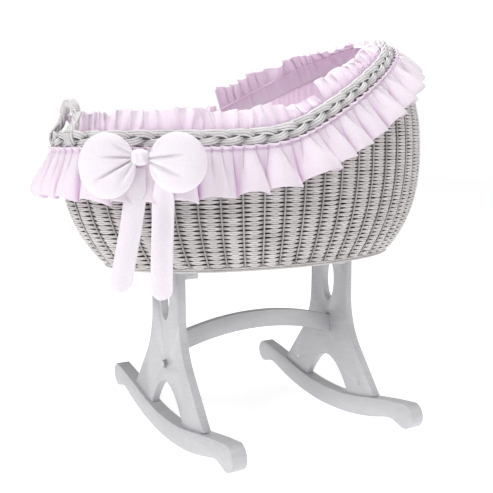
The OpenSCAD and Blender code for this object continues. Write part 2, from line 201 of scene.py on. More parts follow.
def make_piece(name, points, faces, material, smooth=True):
    """A mesh object from points in millimetres."""
    mesh = bpy.data.meshes.new(name)
    mesh.from_pydata((np.asarray(points, float) * MM).tolist(), [], [list(map(int, f)) for f in faces])
    mesh.update()
    mesh.polygons.foreach_set("use_smooth", [smooth] * len(mesh.polygons))
    mesh.materials.append(material)
    obj = bpy.data.objects.new(name, mesh)
    bpy.context.scene.collection.objects.link(obj)
    return obj


def add_values(obj, name, values):
    """A number for each vertex that the material reads."""
    attribute = obj.data.attributes.new(name, "FLOAT", "POINT")
    attribute.data.foreach_set("value", np.asarray(values, np.float32))


def apply_modifiers(obj):
    """Replaces a piece's mesh by what its modifiers make of it."""
    bpy.context.view_layer.update()
    graph = bpy.context.evaluated_depsgraph_get()
    mesh = bpy.data.meshes.new_from_object(obj.evaluated_get(graph), depsgraph=graph)
    obj.modifiers.clear()
    old = obj.data
    obj.data = mesh
    bpy.data.meshes.remove(old)
    mesh.polygons.foreach_set("use_smooth", [True] * len(mesh.polygons))


def solidify(obj, thickness, levels=0):
    """Gives a single-layer cloth its thickness, and one subdivision where asked."""
    m = obj.modifiers.new("thickness", "SOLIDIFY")
    m.thickness = thickness * MM
    m.offset = 0
    if levels:
        s = obj.modifiers.new("smooth", "SUBSURF")
        s.levels = s.render_levels = levels
    apply_modifiers(obj)


def tubes(paths, radii, sides, closed):
    """Points, faces and owner index of round canes along paths of equal length."""
    paths = np.asarray(paths, float)
    count, n, _ = paths.shape
    if closed:
        ahead, back = np.roll(paths, -1, axis=1), np.roll(paths, 1, axis=1)
    else:
        ahead = np.concatenate([paths[:, 1:], paths[:, -1:]], axis=1)
        back = np.concatenate([paths[:, :1], paths[:, :-1]], axis=1)
    t = unit(ahead - back)
    up = np.zeros_like(t)
    up[..., 2] = 1
    steep = np.abs(t[..., 2:]) > 0.9
    up = np.where(steep, np.array([1.0, 0, 0]), up)
    side = unit(np.cross(t, up))
    over = np.cross(side, t)
    turn = TAU * np.arange(sides) / sides
    radii = np.broadcast_to(np.asarray(radii, float), (count, n))[..., None, None]
    ring = side[..., None, :] * np.cos(turn)[:, None] + over[..., None, :] * np.sin(turn)[:, None]
    points = (paths[..., None, :] + radii * ring).reshape(-1, 3)
    spans = n if closed else n - 1
    i = np.arange(spans)[:, None]
    j = np.arange(sides)[None, :]
    after, beside = (i + 1) % n, (j + 1) % sides
    corners = (i * sides + j, after * sides + j, after * sides + beside, i * sides + beside)
    quad = np.stack(np.broadcast_arrays(*corners), axis=-1)
    quads = (quad.reshape(1, -1, 4) + (np.arange(count) * n * sides)[:, None, None]).reshape(-1, 4)
    faces = quads.tolist()
    if not closed:
        for c in range(count):
            start = c * n * sides
            faces.append([start + q for q in range(sides)])
            faces.append([start + (n - 1) * sides + q for q in reversed(range(sides))])
    owner = np.repeat(np.arange(count), n * sides)
    return points, faces, owner


def joined(parts):
    """One list of points, of faces and of a number for each point, from several."""
    points, faces, extra, base = [], [], [], 0
    for p, f, e in parts:
        points.append(p)
        faces.extend([[base + v for v in face] for face in f])
        extra.append(e)
        base += len(p)
    return np.concatenate(points), faces, np.concatenate(extra)


def grid_faces(rows, columns, closed):
    """Quads of a grid of points stored row by row; closed joins the last column to the first."""
    faces = []
    for i in range(rows - 1):
        for j in range(columns if closed else columns - 1):
            k = (j + 1) % columns
            faces.append([i * columns + j, i * columns + k, (i + 1) * columns + k, (i + 1) * columns + j])
    return faces


# ---- Materials ----

def nodes_of(name):
    """A new material, its node tree and its Principled shader."""
    m = bpy.data.materials.new(name)
    m.use_nodes = True
    return m, m.node_tree, m.node_tree.nodes["Principled BSDF"]


def add_node(tree, kind, **values):
    """A node whose inputs or settings are given by name."""
    n = tree.nodes.new(kind)
    for key, value in values.items():
        if key in n.inputs:
            n.inputs[key].default_value = value
        else:
            setattr(n, key, value)
    return n


def object_noise(tree, scale, detail=3.0, stretch=(1, 1, 1)):
    """Noise in the object's own space, stretched along its axes."""
    where = add_node(tree, "ShaderNodeTexCoord")
    place = add_node(tree, "ShaderNodeMapping")
    place.inputs["Scale"].default_value = stretch
    tree.links.new(where.outputs["Object"], place.inputs["Vector"])
    noise = add_node(tree, "ShaderNodeTexNoise", Scale=scale, Detail=detail)
    tree.links.new(place.outputs["Vector"], noise.inputs["Vector"])
    return noise


def ramp(tree, source, low, high, start=0.0, end=1.0):
    """A colour running from low to high as the source goes from start to end."""
    r = add_node(tree, "ShaderNodeValToRGB")
    r.color_ramp.elements[0].position = start
    r.color_ramp.elements[1].position = end
    r.color_ramp.elements[0].color = (*low, 1)
    r.color_ramp.elements[1].color = (*high, 1)
    tree.links.new(source, r.inputs["Fac"])
    return r.outputs["Color"]


def mixed(tree, mode, factor, one, two):
    """Two colours mixed; either may be a colour or a socket."""
    m = add_node(tree, "ShaderNodeMix", data_type="RGBA", blend_type=mode)
    for index, value in ((0, factor), (6, one), (7, two)):
        if isinstance(value, bpy.types.NodeSocket):
            tree.links.new(value, m.inputs[index])
        else:
            m.inputs[index].default_value = value if index == 0 else (*value, 1)
    return m.outputs[2]


def set_colour(tree, shader, colour):
    tree.links.new(colour, shader.inputs["Base Color"])


def set_roughness(tree, shader, source, low, high):
    r = add_node(tree, "ShaderNodeMapRange")
    r.inputs["To Min"].default_value = low
    r.inputs["To Max"].default_value = high
    tree.links.new(source, r.inputs["Value"])
    tree.links.new(r.outputs["Result"], shader.inputs["Roughness"])


def set_bump(tree, shader, source, strength, distance_mm):
    b = add_node(tree, "ShaderNodeBump", Strength=strength, Distance=distance_mm * MM)
    tree.links.new(source, b.inputs["Height"])
    tree.links.new(b.outputs["Normal"], shader.inputs["Normal"])


def wood_paint():
    """Satin paint over close-grained board: a faint grain, brush drag and slightly rubbed colour."""
    m, tree, shader = nodes_of("painted_wood")
    drag = object_noise(tree, 30, 5, (1, 1, 9))
    cloud = object_noise(tree, 5, 3)
    tone = ramp(tree, cloud.outputs["Fac"], (0.53, 0.53, 0.555), (0.60, 0.60, 0.62), 0.3, 0.7)
    grain = ramp(tree, drag.outputs["Fac"], (0.93, 0.93, 0.93), (1, 1, 1), 0.35, 0.6)
    set_colour(tree, shader, mixed(tree, "MULTIPLY", 1.0, tone, grain))
    set_roughness(tree, shader, cloud.outputs["Fac"], 0.34, 0.48)
    set_bump(tree, shader, drag.outputs["Fac"], 0.12, 0.4)
    shader.inputs["Coat Weight"].default_value = 0.15
    return m


def beech():
    """Bare beech with its grain along the peg."""
    m, tree, shader = nodes_of("beech")
    grain = object_noise(tree, 60, 5, (1, 8, 1))
    wood = ramp(tree, grain.outputs["Fac"], (0.52, 0.32, 0.17), (0.70, 0.49, 0.29), 0.3, 0.7)
    set_colour(tree, shader, wood)
    set_roughness(tree, shader, grain.outputs["Fac"], 0.45, 0.6)
    set_bump(tree, shader, grain.outputs["Fac"], 0.15, 0.2)
    return m


def steel():
    """Zinc-plated steel with a faint mottle."""
    m, tree, shader = nodes_of("zinc_steel")
    patch = object_noise(tree, 250, 4)
    shader.inputs["Metallic"].default_value = 1.0
    metal = ramp(tree, patch.outputs["Fac"], (0.42, 0.42, 0.43), (0.62, 0.62, 0.62), 0.3, 0.7)
    set_colour(tree, shader, metal)
    set_roughness(tree, shader, patch.outputs["Fac"], 0.28, 0.45)
    set_bump(tree, shader, patch.outputs["Fac"], 0.1, 0.1)
    return m


def cane(name, light, dark):
    """Painted cane: each strand has its own tone, and a number on each vertex darkens the colour in the
    recesses as painted shade.
    """
    m, tree, shader = nodes_of(name)
    tone_and_painted_shade = add_node(tree, "ShaderNodeAttribute", attribute_name="tone_and_painted_shade")
    fibre = object_noise(tree, 180, 4)
    patch = object_noise(tree, 22, 3)
    body = ramp(tree, tone_and_painted_shade.outputs["Fac"], dark, light)
    worn = ramp(tree, patch.outputs["Fac"], (0.9, 0.895, 0.885), (1, 1, 1), 0.35, 0.6)
    streak = ramp(tree, fibre.outputs["Fac"], (0.9, 0.9, 0.9), (1, 1, 1), 0.35, 0.6)
    painted_shade_and_wear = mixed(tree, "MULTIPLY", 1.0, body, worn)
    set_colour(tree, shader, mixed(tree, "MULTIPLY", 1.0, painted_shade_and_wear, streak))
    set_roughness(tree, shader, patch.outputs["Fac"], 0.42, 0.6)
    set_bump(tree, shader, fibre.outputs["Fac"], 0.35, 0.3)
    return m


THREAD_SCALE = 900.0
THREAD_HEIGHT = 0.06
# Colour that light takes on between deep folds.
VALLEY_SHADE = (0.84, 0.72, 0.84)


def cotton(name, light, dark, crinkle=0.35, glow=0.45):
    """Plain-weave cotton: fine threads both ways, soft crinkles and a slight nap."""
    m, tree, shader = nodes_of(name)
    where = add_node(tree, "ShaderNodeTexCoord")
    threads = []
    for direction in ("X", "Y", "Z"):
        wave = add_node(tree, "ShaderNodeTexWave", Scale=THREAD_SCALE, Distortion=1.2)
        wave.bands_direction = direction
        wave.inputs["Detail"].default_value = 1.0
        tree.links.new(where.outputs["Object"], wave.inputs["Vector"])
        threads.append(wave.outputs["Fac"])
    both = add_node(tree, "ShaderNodeMath", operation="ADD")
    tree.links.new(threads[0], both.inputs[0])
    tree.links.new(threads[1], both.inputs[1])
    weave = add_node(tree, "ShaderNodeMath", operation="MULTIPLY_ADD")
    tree.links.new(both.outputs[0], weave.inputs[0])
    weave.inputs[1].default_value = 0.25
    tree.links.new(threads[2], weave.inputs[2])
    fold = object_noise(tree, 38, 4)
    height = add_node(tree, "ShaderNodeMath", operation="MULTIPLY_ADD")
    tree.links.new(weave.outputs[0], height.inputs[0])
    height.inputs[1].default_value = THREAD_HEIGHT
    tree.links.new(fold.outputs["Fac"], height.inputs[2])
    cloud = object_noise(tree, 9, 3)
    tone = ramp(tree, cloud.outputs["Fac"], dark, light, 0.3, 0.68)
    slub = object_noise(tree, 420, 2)
    fleck = ramp(tree, slub.outputs["Fac"], (0.955, 0.945, 0.95), (1, 1, 1), 0.35, 0.6)
    deep = add_node(tree, "ShaderNodeAttribute", attribute_name="valley_shade")
    body = mixed(tree, "MULTIPLY", 1.0, tone, fleck)
    # A number on each vertex multiplies the colour towards the valley colour as painted shade in folds
    # and under seams.
    set_colour(tree, shader, mixed(tree, "MULTIPLY", deep.outputs["Fac"], body, VALLEY_SHADE))
    set_roughness(tree, shader, cloud.outputs["Fac"], 0.78, 0.92)
    set_bump(tree, shader, height.outputs[0], crinkle, 3.0)
    shader.inputs["Subsurface Weight"].default_value = glow
    shader.inputs["Subsurface Radius"].default_value = (1.0, 0.75, 0.95)
    shader.inputs["Subsurface Scale"].default_value = 0.006
    shader.inputs["Sheen Weight"].default_value = 0.2
    shader.inputs["Sheen Roughness"].default_value = 0.5
    shader.inputs["Specular IOR Level"].default_value = 0.25
    return m


PAINT = wood_paint()
BEECH = beech()
STEEL = steel()
# The dark end of each cane colour is painted shade: it colours the recesses, the sheet behind the weave
# and the cores of the plait and handle.
WEAVE = cane("woven_cane", (0.79, 0.76, 0.755), (0.05, 0.043, 0.04))
PLAIT = cane("plaited_cane", (0.80, 0.78, 0.79), (0.06, 0.055, 0.053))
COTTON = cotton("pink_cotton", (0.905, 0.785, 0.895), (0.88, 0.745, 0.865))
BOW = cotton("bow_cotton", (0.855, 0.81, 0.862), (0.825, 0.775, 0.832))
# The lining's cotton is made lighter than the trim's, as painted light for the shaded inside of the
# basket.
LINING = cotton("lining_cotton", (0.94, 0.80, 0.92), (0.91, 0.75, 0.89), crinkle=0.25, glow=0.1)
COVER = cotton("mattress_cotton", (0.86, 0.85, 0.83), (0.82, 0.81, 0.79))


# ---- Camera, light and floor ----

CAMERA_AT = (BASKET_X * MM - 0.8553, -1.4678, 0.6557)
CAMERA_TILT = 81.93
CAMERA_TURN = -29.58
CAMERA_LENS = 53.73
camera = bpy.data.objects.new("camera", bpy.data.cameras.new("camera"))
camera.location = CAMERA_AT
camera.rotation_euler = (math.radians(CAMERA_TILT), 0, math.radians(CAMERA_TURN))
camera.data.lens = CAMERA_LENS
camera.data.sensor_width = 36
bpy.context.scene.collection.objects.link(camera)
bpy.context.scene.camera = camera


def area_light(name, at, to, size, power):
    """A square light that isn't itself seen."""
    data = bpy.data.lights.new(name, "AREA")
    data.shape = "SQUARE"
    data.size = size
    data.energy = power
    light = bpy.data.objects.new(name, data)
    light.location = at
    light.visible_camera = False
    light.rotation_euler = (Vector(to) - Vector(at)).to_track_quat("-Z", "Y").to_euler()
    bpy.context.scene.collection.objects.link(light)


MIDDLE = (BASKET_X * MM, 0, 0.55)
area_light("key", (-2.7, -0.9, 1.9), MIDDLE, 1.2, 31)
area_light("top", (-0.1, -0.8, 2.8), MIDDLE, 1.6, 22)
area_light("fill", (2.3, -1.9, 1.3), MIDDLE, 1.8, 8)
area_light("hood_fill", (-0.2, 0.02, 1.35), (0.34, 0.2, 0.70), 0.4, 3.2)

SKY_LIGHT = 0.43
SKY_SEEN = 1.0
FLOOR_GLOW = 0.58

world = bpy.data.worlds.new("studio")
world.use_nodes = True
sky = world.node_tree.nodes["Background"]
sky.inputs["Color"].default_value = (1, 1, 1, 1)
seen = add_node(world.node_tree, "ShaderNodeLightPath")
level = add_node(world.node_tree, "ShaderNodeMapRange")
level.inputs["To Min"].default_value = SKY_LIGHT
level.inputs["To Max"].default_value = SKY_SEEN
world.node_tree.links.new(seen.outputs["Is Camera Ray"], level.inputs["Value"])
world.node_tree.links.new(level.outputs["Result"], sky.inputs["Strength"])
bpy.context.scene.world = world
bpy.context.scene.view_settings.view_transform = "Standard"


def floor():
    """A wide white studio floor that brightens to the colour of the background."""
    half = 9000
    m, tree, shader = nodes_of("floor")
    haze = object_noise(tree, 2, 2)
    set_colour(tree, shader, ramp(tree, haze.outputs["Fac"], (0.93, 0.93, 0.93), (0.95, 0.95, 0.95)))
    shader.inputs["Roughness"].default_value = 0.9
    shader.inputs["Emission Color"].default_value = (1, 1, 1, 1)
    shader.inputs["Emission Strength"].default_value = FLOOR_GLOW
    corners = [(-half, -half, 0), (half, -half, 0), (half, half, 0), (-half, half, 0)]
    make_piece("floor", corners, [(0, 1, 2, 3)], m, smooth=False)


floor()


# ---- Wood, steel and pegs ----

WELD_M = 1e-5
FLAT_DEGREES = 1
SHARP_DEGREES = 30


def edged(node, radius_mm, body):
    """A copy of a board with its sharp edges rounded over."""
    obj = bpy.data.objects.new(node + "_board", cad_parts[node].data.copy())
    bpy.context.scene.collection.objects.link(obj)
    shape = bmesh.new()
    shape.from_mesh(obj.data)
    bmesh.ops.remove_doubles(shape, verts=shape.verts, dist=WELD_M)
    flat = math.radians(FLAT_DEGREES)
    bmesh.ops.dissolve_limit(shape, angle_limit=flat, verts=shape.verts, edges=shape.edges)
    shape.to_mesh(obj.data)
    shape.free()
    m = obj.modifiers.new("edge", "BEVEL")
    m.width = radius_mm * MM
    m.segments = 3
    m.limit_method = "ANGLE"
    m.angle_limit = math.radians(SHARP_DEGREES)
    m.harden_normals = True
    apply_modifiers(obj)
    obj.data.materials.clear()
    obj.data.materials.append(PAINT)
    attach(obj, body)
    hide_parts(node)


for board, radius_mm, body in (
    ("foot_plate", 3.0, "stand"),
    ("head_plate", 3.0, "stand"),
    ("foot_rocker", 3.5, "stand"),
    ("head_rocker", 3.5, "stand"),
    ("stretcher", 2.5, "stand"),
    ("foot_cleat", 1.5, "stand"),
    ("head_cleat", 1.5, "stand"),
    ("base_battens", 1.5, "basket"),
):
    edged(board, radius_mm, body)

for node, material in (
    ("stretcher_dowels", BEECH),
    ("rocker_dowels", BEECH),
    ("locating_pegs", BEECH),
    ("rocker_bolts", STEEL),
    ("barrel_nuts", STEEL),
    ("plate_bolt", STEEL),
    ("plate_insert", STEEL),
    ("cleat_screws", STEEL),
    ("batten_screws", STEEL),
):
    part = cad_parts[node]
    for slot in part.material_slots:
        slot.material = material


# ---- Woven wall ----

STAKES = 96
STEPS = 4
STRAND_DEPTH = 3.6
WALL_MID = -WALL_T / 2
COARSE_PITCH = 8.8
FINE_PITCH = 7.4
BAND_Z = 540.0
WALL_BOTTOM = BASE_Z + FLOOR_T + 0.2
WALL_TUCK = 12.0
STAKE_R = 1.7
# Where the dark sheet behind the weave stands; its colour is painted shade in the gaps.
PAINTED_SHADE_SHEET_OFF = -WALL_T - 0.4

BELLY_A = np.linspace(0, TAU, 2881)
BELLY_STEPS = np.diff(wall_point(BELLY_A, np.full(BELLY_A.shape, BELLY_Z)), axis=0)
BELLY_S = np.concatenate([[0], np.cumsum(np.linalg.norm(BELLY_STEPS, axis=1))])


def stake_angle(k):
    """Angle of stake k, with the stakes evenly spaced round the belly."""
    turns = np.floor(k / STAKES)
    return np.interp((k / STAKES - turns) * BELLY_S[-1], BELLY_S, BELLY_A) + turns * TAU


def leaning(a, z):
    """How far the wall leans in at an angle and level, to meet the hood's rim."""
    top = rim_level(a) - WALL_TUCK
    rise = np.clip((z - WALL_BOTTOM) / (top - WALL_BOTTOM), 0, 1)
    return wall_lean(a) * rise**4


def strand(stake, z, row, pitch, which):
    """Path, radius and colour number of one of the two strands of a row, over the given stake positions.

    Every row goes in front of the even stakes, where its strands fill the pitch, and behind the odd ones,
    where they draw together and leave a slit to the next row.
    """
    a = stake_angle(stake)
    dive = np.cos(math.pi * stake)
    spread = smooth_step(0.05, 0.9, dive + 0.10 * value_noise(stake / 1.7, row))
    gap = pitch / 4 * (0.60 + 0.40 * spread)
    join = smooth_step(0, 6, STAKES / 2 - np.abs(stake))
    waver = 1.5 * value_noise(stake / 2.6 + 0.19 * row, 7) * join
    level = z + which * gap + 0.4 * value_noise(stake / 2.3, row) + waver
    off = WALL_MID + STRAND_DEPTH * np.sign(dive) * np.abs(dive) ** 0.8
    path = wall_point(a, level, off + leaning(a, z))
    radius = pitch / 4 * (0.80 + 0.20 * spread)
    tone = 0.88 + 0.12 * hash_unit(2 * row + which, 3) + 0.07 * value_noise(stake / 3.1, row + 50)
    # The colour number is the strand's own tone, darkened as painted shade where the strand dives behind
    # a stake.
    return path, radius, tone * (0.60 + 0.40 * smooth_step(-1.0, -0.1, dive))


def woven(name, rows, body_ring):
    """Rows of strands as one piece; rows are (level, row number, pitch)."""
    half = STAKES * STEPS // 2
    stakes = np.arange(-half, half) / STEPS
    rims = rim_level(stake_angle(stakes)) - WALL_TUCK + 3
    parts = []
    for z, row, pitch in rows:
        keep = stakes if body_ring else stakes[rims > z]
        if len(keep) < 8:
            continue
        for which in (-1, 1):
            path, radius, tone_and_painted_shade = strand(keep, z, row, pitch, which)
            points, faces, _ = tubes(path[None], radius, 6, body_ring)
            parts.append((points, faces, np.repeat(tone_and_painted_shade, 6)))
    points, faces, tone_and_painted_shade = joined(parts)
    obj = make_piece(name, points, faces, WEAVE)
    add_values(obj, "tone_and_painted_shade", tone_and_painted_shade)
    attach(obj, "basket")
    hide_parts("wicker_wall")


def wall_rows():
    """Levels of every row, coarse below the band and finer above it."""
    rows, z, row = [], WALL_BOTTOM + COARSE_PITCH / 2, 0
    top = rim_level(np.array([0.0]))[0]
    while z < top:
        pitch = COARSE_PITCH if z < BAND_Z else FINE_PITCH
        rows.append((z, row, pitch))
        z += pitch
        row += 1
    return rows


ROWS = wall_rows()
LOWEST_RIM = rim_level(np.array([math.pi]))[0] - WALL_TUCK
woven("weave_low", [r for r in ROWS if r[0] < BAND_Z], True)
woven("weave_high", [r for r in ROWS if BAND_Z <= r[0] < LOWEST_RIM], True)
woven("weave_hood", [r for r in ROWS if r[0] >= LOWEST_RIM], False)


def stakes_piece():
    """The uprights that the strands pass over and under, and a dark sheet behind them as painted shade in
    the gaps of the weave.
    """
    a = stake_angle(np.arange(STAKES, dtype=float))
    top = rim_level(a) - 6
    v = np.linspace(0, 1, 14)[None]
    z = WALL_BOTTOM + 1 + (top[:, None] - WALL_BOTTOM - 1) * v
    around = np.repeat(a[:, None], v.shape[1], axis=1)
    paths = wall_point(around, z, WALL_MID + leaning(around, z))
    points, faces, owner = tubes(paths, STAKE_R, 6, False)
    n, rows = 288, 40
    ring = TAU * np.arange(n) / n
    up = np.linspace(0, 1, rows)[:, None]
    level = WALL_BOTTOM + 1 + (rim_level(ring) - WALL_TUCK - WALL_BOTTOM - 1) * up
    shade_sheet = wall_point(np.broadcast_to(ring, level.shape), level, PAINTED_SHADE_SHEET_OFF + leaning(ring, level))
    # The stakes are coloured darker than the strands as painted shade where they show in the slits, and
    # the sheet behind gets the darkest colour.
    stakes = (points, faces, 0.52 + 0.15 * hash_unit(owner, 5))
    shade_sheet_part = (shade_sheet.reshape(-1, 3), grid_faces(rows, n, True), np.zeros(rows * n))
    points, faces, tone_and_painted_shade = joined([stakes, shade_sheet_part])
    obj = make_piece("stakes", points, faces, WEAVE)
    add_values(obj, "tone_and_painted_shade", tone_and_painted_shade)
    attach(obj, "basket")
    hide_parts("wicker_wall")


stakes_piece()


def base_piece():
    """A woven floor: strands running across over sticks along, inside a bound edge."""
    s = float(share(BASE_Z + FLOOR_T / 2))
    long_half, wide_half = HALF_L * s - 4, HALF_W * s - 4
    mid = BASE_Z + FLOOR_T / 2
    parts = []
    for y in np.arange(-8, 9) * wide_half / 9:
        reach = long_half * math.sqrt(1 - (y / wide_half) ** 2)
        x = np.linspace(-reach, reach, 12)
        path = np.stack([BASKET_X + x, np.full(x.shape, y), np.full(x.shape, mid)], axis=-1)
        points, faces, _ = tubes(path[None], 2.2, 6, False)
        parts.append((points, faces, np.full(len(points), 0.45)))
    gap = wide_half / 9
    for row, x in enumerate(np.arange(-long_half + 8, long_half - 6, 5.2)):
        reach = wide_half * math.sqrt(max(0.0, 1 - (x / long_half) ** 2))
        if reach < 20:
            continue
        y = np.linspace(-reach, reach, max(9, int(reach / gap * 8)))
        dive = np.cos(math.pi * y / gap) * (1 if row % 2 else -1)
        path = np.stack([np.full(y.shape, BASKET_X + x), y, mid + 2.5 * dive], axis=-1)
        points, faces, _ = tubes(path[None], 2.3, 5, False)
        # Each weaver is darker midway between the sticks, where it dips from one crossing to the next, as
        # painted shade.
        parts.append((points, faces, np.repeat(0.55 + 0.35 * np.abs(dive), 5)))
    around = np.linspace(0, TAU, 240, endpoint=False)
    x, y = BASKET_X + long_half * np.cos(around), wide_half * np.sin(around)
    for up in (2.4, -2.4):
        path = np.stack([x, y, np.full(around.shape, mid + up)], axis=-1)
        points, faces, _ = tubes(path[None], 2.5, 8, True)
        parts.append((points, faces, np.full(len(points), 0.8)))
    points, faces, tone_and_painted_shade = joined(parts)
    obj = make_piece("woven_floor", points, faces, WEAVE)
    add_values(obj, "tone_and_painted_shade", tone_and_painted_shade)
    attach(obj, "basket")
    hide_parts("wicker_base")


base_piece()


# ---- Plaited rim ----

PLAIT_TURNS = 15
PLAIT_STEPS = 36
PLAIT_SIDEWAYS = 9.8
PLAIT_DEPTH = 5.0
PLAIT_CANE_R = 2.5
PLAIT_CORE_R = 4.2
# How far the canes are darkened where they cross the plait's middle, as painted shade.
PAINTED_RECESS_SHADE = 0.35
# The canes of a bundle: place across it and height over its middle.
CANES = ((-4.6, 0.0), (0.0, 1.0), (4.6, 0.0), (-2.3, -3.4), (2.3, -3.4))


def plait_piece():
    """Three bundles of canes plaited round the rim, over a core of turned-down stakes."""
    n = PLAIT_TURNS * PLAIT_STEPS
    s = RIM_LENGTH * np.arange(n) / n
    a = rim_angle(s)
    p = rim_point(a)
    parts = []
    pitch = RIM_LENGTH / PLAIT_TURNS
    for bundle in range(3):
        t = TAU * (PLAIT_TURNS * np.arange(n) / n + bundle / 3)
        lateral = PLAIT_SIDEWAYS * (np.sin(t) + 0.12 * np.sin(3 * t))
        slope = np.arctan(PLAIT_SIDEWAYS * (np.cos(t) + 0.36 * np.cos(3 * t)) * TAU / pitch)
        depth = -PLAIT_DEPTH * np.sin(2 * t)
        for c, (across, lift) in enumerate(CANES):
            shift = across + 0.5 * value_noise(s / 35, bundle * 7 + c)
            along = s - shift * np.sin(slope)
            y = lateral + shift * np.cos(slope)
            x = depth + lift
            q, q_out, _, q_up = rim_axes(rim_angle(along))
            path = q + q_out * x[:, None] + q_up * y[:, None]
            points, faces, _ = tubes(path[None], PLAIT_CANE_R, 7, True)
            tone = 0.88 + 0.12 * hash_unit(bundle * 5 + c, 11) + 0.05 * value_noise(s / 20, c)
            # Painted shade: the canes darken where they cross the plait's middle.
            recess_shade = PAINTED_RECESS_SHADE * np.exp(-((np.sin(t) / 0.3) ** 2))
            parts.append((points, faces, np.repeat(tone * (1 - recess_shade), 7)))
    # The core is coloured nearly black as painted shade in the holes along the plait's middle.
    core, faces, _ = tubes(p[None], PLAIT_CORE_R, 8, True)
    parts.append((core, faces, np.full(len(core), 0.05)))
    points, faces, tone_and_painted_shade = joined(parts)
    obj = make_piece("plaited_rim", points, faces, PLAIT)
    add_values(obj, "tone_and_painted_shade", tone_and_painted_shade)
    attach(obj, "basket")
    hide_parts("rim_braid")


plait_piece()


# ---- Carrying handle ----

# A leg's centre line, from its foot upwards: in from the wall, in from the handle's side, and level.
HANDLE_LEG = (
    (0, 0, 651), (-1, 1, 665), (5, 4, 679), (11, 12, 693), (15, 21, 707), (16, 31, 723), (16, 46, 731),
)


def smooth_path(points, count):
    """Evenly spaced points on a smooth curve through the given ones, and the curve's length."""
    p = np.asarray(points, float)
    ends = np.concatenate([2 * p[:1] - p[1:2], p, 2 * p[-1:] - p[-2:-1]])
    u = np.linspace(0, len(p) - 1, count * 4)
    i = np.clip(u.astype(int), 0, len(p) - 2)
    f = (u - i)[:, None]
    a, b, c, d = ends[i], ends[i + 1], ends[i + 2], ends[i + 3]
    bend, twist = 2 * a - 5 * b + 4 * c - d, 3 * b - a - 3 * c + d
    curve = 0.5 * (2 * b + (c - a) * f + bend * f**2 + twist * f**3)
    s = np.concatenate([[0], np.cumsum(np.linalg.norm(np.diff(curve, axis=0), axis=1))])
    even = np.linspace(0, s[-1], count)
    return np.stack([np.interp(even, s, curve[:, k]) for k in range(3)], axis=-1), s[-1]


def handle_path(count):
    """The handle's centre line, from one foot on the rim over the top to the other."""
    leg = float(wall_point(math.pi, np.array(RIM_LOW))[0]) + 3
    half = HANDLE_SPAN / 2
    rise = HANDLE_TOP - HANDLE_R
    side = [(leg + x, -half + y, z) for x, y, z in HANDLE_LEG] + [(leg + 16, 0, rise)]
    mirrored = [(x, -y, z) for x, y, z in reversed(side[:-1])]
    return smooth_path(side + mirrored, count)


def helix(path, radius, turns, phase):
    """A strand winding round a path."""
    t = unit(np.gradient(path, axis=0))
    across = unit(np.cross(t, np.array([1.0, 0, 0])))
    over = np.cross(across, t)
    angle = TAU * (turns * np.linspace(0, 1, len(path)) + phase)
    radius = np.broadcast_to(radius, angle.shape)
    return path + (across * np.cos(angle)[:, None] + over * np.sin(angle)[:, None]) * radius[:, None]


# The way a leg's canes go over the outside of the rim and under it: out from the wall, slant and height.
HOOK = (
    (14, 1.0, 50), (5, 0.9, 34), (-8, 0.7, 20), (-16.5, 0.5, 9),
    (-18.5, 0.25, -3), (-16, 0.05, -13), (-8, 0.0, -18.5), (1, 0.0, -17),
)


def handle_piece():
    """A twisted bundle of canes, wrapped over at the top where the hand goes."""
    parts = []
    path, length = handle_path(260)
    for k in range(5):
        wound = helix(path, 5.0, length / 95, k / 5)
        points, faces, _ = tubes(wound[None], 3.3, 8, False)
        parts.append((points, faces, np.full(len(points), 0.78 + 0.05 * (k % 3))))
    # The core is coloured dark as painted shade in the gaps between the twisted canes.
    core, faces, _ = tubes(path[None], 3.0, 8, False)
    parts.append((core, faces, np.full(len(core), 0.3)))
    fine, length = handle_path(2400)
    grip = fine[int(0.30 * len(fine)) : int(0.70 * len(fine))]
    grip_length = 0.40 * length
    wrap_r = 2.0
    wound = helix(grip, HANDLE_R - 0.6, grip_length / (2 * wrap_r + 0.25), 0)
    points, faces, _ = tubes(wound[None], wrap_r, 6, False)
    parts.append((points, faces, np.full(len(points), 0.92)))
    s = float(share(RIM_LOW))
    for side in (-1, 1):
        for k in range(3):
            foot_y = side * (HANDLE_SPAN / 2 - 6 + 5.0 * k)
            hook = []
            for x, lean, z in HOOK:
                y = foot_y - side * 12 * lean
                wall_x = BASKET_X - HALF_L * s * math.sqrt(1 - (y / (HALF_W * s)) ** 2)
                hook.append((wall_x + x, y, RIM_LOW + 3 + z))
            bent, _ = smooth_path(hook, 60)
            points, faces, _ = tubes(bent[None], 2.5, 7, False)
            parts.append((points, faces, np.full(len(points), 0.84 + 0.05 * (k % 3))))
    points, faces, tone_and_painted_shade = joined(parts)
    obj = make_piece("wrapped_handle", points, faces, PLAIT)
    add_values(obj, "tone_and_painted_shade", tone_and_painted_shade)
    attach(obj, "basket")
    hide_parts("foot_handle")


handle_piece()


# ---- Lining and frills ----

def strip(name, out, up, s, material, closed, thickness, levels=0, valley_shade=0.0):
    """A cloth from rows of offsets beside the rim; s is the length along the rim of each point."""
    a = rim_angle(s)
    points = beside_rim(a, out, up)
    rows, columns = s.shape
    obj = make_piece(name, points.reshape(-1, 3), grid_faces(rows, columns, closed), material)
    add_values(obj, "valley_shade", np.broadcast_to(valley_shade, s.shape).reshape(-1))
    solidify(obj, thickness, levels)
    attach(obj, "basket")
    return obj


